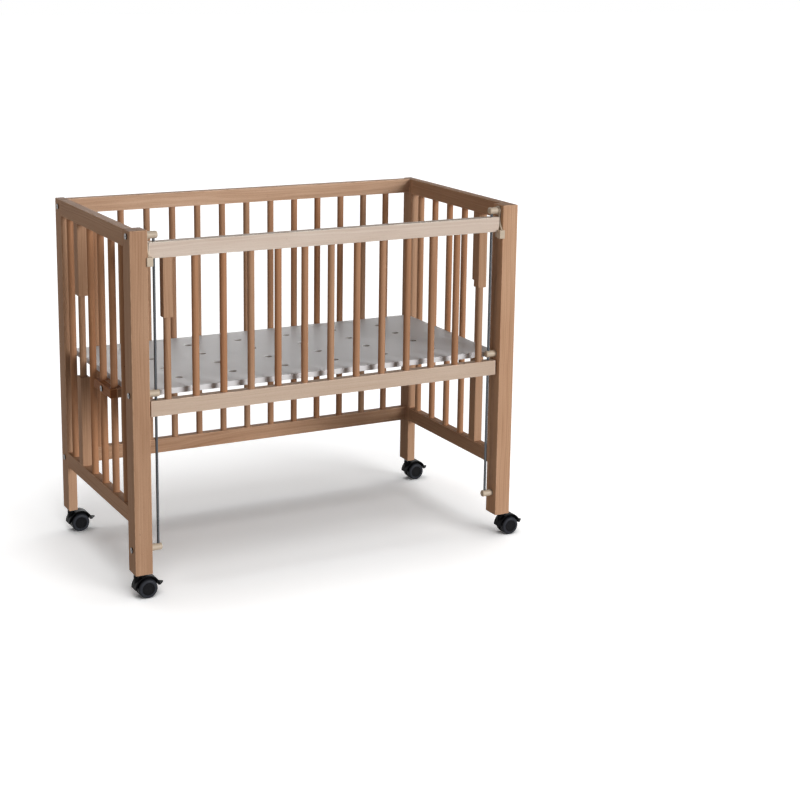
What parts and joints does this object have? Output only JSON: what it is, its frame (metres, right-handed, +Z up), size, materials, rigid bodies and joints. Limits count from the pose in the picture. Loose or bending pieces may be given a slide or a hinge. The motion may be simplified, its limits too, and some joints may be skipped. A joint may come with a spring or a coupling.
{
  "type": "bedside sleeper crib",
  "caption": "Wooden bedside crib on twin-wheel casters, with round bars, a drop gate on steel guide rods and a height-adjustable perforated base board.",
  "frame": {"origin": "on the floor, under the middle of the overall box; the crib's own middle plane is at X = -21.75 mm, because the caster pedals all point to +X", "axes": "+X along the length towards the caster pedals, -Y towards the drop gate (the adult bed's side), +Z up"},
  "size_m": [1.0171, 0.53, 0.823],
  "materials": {
    "wood": "satin lacquered beech",
    "board": "white laminate",
    "beige_plastic": "moulded",
    "steel": "zinc plated",
    "bolt_steel": "black oxide",
    "black_plastic": "moulded",
    "caster_wheel": "hard tread"
  },
  "bodies": {
    "frame": {"post_front_left": "wood", "post_rear_left": "wood", "end_top_rail_left": "wood", "end_bottom_rail_left": "wood", "end_bars_left": "wood", "end_block_bar_left": "wood", "guide_rod_left": "steel", "post_front_right": "wood", "post_rear_right": "wood", "end_top_rail_right": "wood", "end_bottom_rail_right": "wood", "end_bars_right": "wood", "end_block_bar_right": "wood", "guide_rod_right": "steel", "rear_top_rail": "wood", "rear_bottom_rail": "wood", "rear_bars": "wood", "frame_dowels": "wood", "rear_bolts": "bolt_steel", "barrel_nuts": "steel", "rod_pegs": "beige_plastic", "peg_bolts": "bolt_steel", "caster_sockets": "black_plastic"},
    "gate": {"gate_top_rail": "wood", "gate_bottom_rail": "wood", "gate_bars": "wood", "gate_block_bar_left": "wood", "gate_block_bar_right": "wood", "gate_bushings": "beige_plastic"},
    "latch_left": {"latch_left": "beige_plastic"},
    "latch_right": {"latch_right": "beige_plastic"},
    "base": {"bed_board": "board", "clamp_outer_left": "wood", "clamp_inner_left": "wood", "clamp_outer_right": "wood", "clamp_inner_right": "wood", "clamp_bolts": "bolt_steel", "clamp_nuts": "steel"},
    "caster_front_left": {"caster_front_left_hood": "black_plastic", "caster_front_left_pins": "steel"},
    "caster_front_left_wheel_front": {"caster_front_left_wheel_front": "caster_wheel"},
    "caster_front_left_wheel_rear": {"caster_front_left_wheel_rear": "caster_wheel"},
    "caster_front_left_pedal": {"caster_front_left_pedal": "black_plastic"},
    "caster_front_right": {"caster_front_right_hood": "black_plastic", "caster_front_right_pins": "steel"},
    "caster_front_right_wheel_front": {"caster_front_right_wheel_front": "caster_wheel"},
    "caster_front_right_wheel_rear": {"caster_front_right_wheel_rear": "caster_wheel"},
    "caster_front_right_pedal": {"caster_front_right_pedal": "black_plastic"},
    "caster_rear_left": {"caster_rear_left_hood": "black_plastic", "caster_rear_left_pins": "steel"},
    "caster_rear_left_wheel_front": {"caster_rear_left_wheel_front": "caster_wheel"},
    "caster_rear_left_wheel_rear": {"caster_rear_left_wheel_rear": "caster_wheel"},
    "caster_rear_left_pedal": {"caster_rear_left_pedal": "black_plastic"},
    "caster_rear_right": {"caster_rear_right_hood": "black_plastic", "caster_rear_right_pins": "steel"},
    "caster_rear_right_wheel_front": {"caster_rear_right_wheel_front": "caster_wheel"},
    "caster_rear_right_wheel_rear": {"caster_rear_right_wheel_rear": "caster_wheel"},
    "caster_rear_right_pedal": {"caster_rear_right_pedal": "black_plastic"}
  },
  "joints": [
    {"name": "gate_slide", "type": "slide", "parent": "frame", "child": "gate", "axis": [0, 0, -1], "range_m": [0, 0.288]},
    {"name": "base_height", "type": "slide", "parent": "frame", "child": "base", "axis": [0, 0, 1], "range_m": [-0.22, 0.15]},
    {"name": "latch_left_hinge", "type": "hinge", "parent": "frame", "child": "latch_left", "pos_m": [-0.459, -0.243, 0.8095], "axis": [1, 0, 0], "range_deg": [-12, 0], "stiffness_Nm_per_rad": 0.3},
    {"name": "latch_right_hinge", "type": "hinge", "parent": "frame", "child": "latch_right", "pos_m": [0.4155, -0.243, 0.8095], "axis": [1, 0, 0], "range_deg": [-12, 0], "stiffness_Nm_per_rad": 0.3},
    {"name": "caster_front_left_swivel", "type": "hinge", "parent": "frame", "child": "caster_front_left", "pos_m": [-0.49075, -0.2405, 0.058], "axis": [0, 0, 1], "continuous": true},
    {"name": "caster_front_left_wheel_front_spin", "type": "hinge", "parent": "caster_front_left", "child": "caster_front_left_wheel_front", "pos_m": [-0.47075, -0.25175, 0.022], "axis": [0, 1, 0], "continuous": true},
    {"name": "caster_front_left_wheel_rear_spin", "type": "hinge", "parent": "caster_front_left", "child": "caster_front_left_wheel_rear", "pos_m": [-0.47075, -0.22925, 0.022], "axis": [0, 1, 0], "continuous": true},
    {"name": "caster_front_left_pedal_hinge", "type": "hinge", "parent": "caster_front_left", "child": "caster_front_left_pedal", "pos_m": [-0.45575, -0.2405, 0.031], "axis": [0, 1, 0], "range_deg": [0, 10]},
    {"name": "caster_front_right_swivel", "type": "hinge", "parent": "frame", "child": "caster_front_right", "pos_m": [0.44725, -0.2405, 0.058], "axis": [0, 0, 1], "continuous": true},
    {"name": "caster_front_right_wheel_front_spin", "type": "hinge", "parent": "caster_front_right", "child": "caster_front_right_wheel_front", "pos_m": [0.46725, -0.25175, 0.022], "axis": [0, 1, 0], "continuous": true},
    {"name": "caster_front_right_wheel_rear_spin", "type": "hinge", "parent": "caster_front_right", "child": "caster_front_right_wheel_rear", "pos_m": [0.46725, -0.22925, 0.022], "axis": [0, 1, 0], "continuous": true},
    {"name": "caster_front_right_pedal_hinge", "type": "hinge", "parent": "caster_front_right", "child": "caster_front_right_pedal", "pos_m": [0.48225, -0.2405, 0.031], "axis": [0, 1, 0], "range_deg": [0, 10]},
    {"name": "caster_rear_left_swivel", "type": "hinge", "parent": "frame", "child": "caster_rear_left", "pos_m": [-0.49075, 0.2405, 0.058], "axis": [0, 0, 1], "continuous": true},
    {"name": "caster_rear_left_wheel_front_spin", "type": "hinge", "parent": "caster_rear_left", "child": "caster_rear_left_wheel_front", "pos_m": [-0.47075, 0.22925, 0.022], "axis": [0, 1, 0], "continuous": true},
    {"name": "caster_rear_left_wheel_rear_spin", "type": "hinge", "parent": "caster_rear_left", "child": "caster_rear_left_wheel_rear", "pos_m": [-0.47075, 0.25175, 0.022], "axis": [0, 1, 0], "continuous": true},
    {"name": "caster_rear_left_pedal_hinge", "type": "hinge", "parent": "caster_rear_left", "child": "caster_rear_left_pedal", "pos_m": [-0.45575, 0.2405, 0.031], "axis": [0, 1, 0], "range_deg": [0, 10]},
    {"name": "caster_rear_right_swivel", "type": "hinge", "parent": "frame", "child": "caster_rear_right", "pos_m": [0.44725, 0.2405, 0.058], "axis": [0, 0, 1], "continuous": true},
    {"name": "caster_rear_right_wheel_front_spin", "type": "hinge", "parent": "caster_rear_right", "child": "caster_rear_right_wheel_front", "pos_m": [0.46725, 0.22925, 0.022], "axis": [0, 1, 0], "continuous": true},
    {"name": "caster_rear_right_wheel_rear_spin", "type": "hinge", "parent": "caster_rear_right", "child": "caster_rear_right_wheel_rear", "pos_m": [0.46725, 0.25175, 0.022], "axis": [0, 1, 0], "continuous": true},
    {"name": "caster_rear_right_pedal_hinge", "type": "hinge", "parent": "caster_rear_right", "child": "caster_rear_right_pedal", "pos_m": [0.48225, 0.2405, 0.031], "axis": [0, 1, 0], "range_deg": [0, 10]}
  ]
}
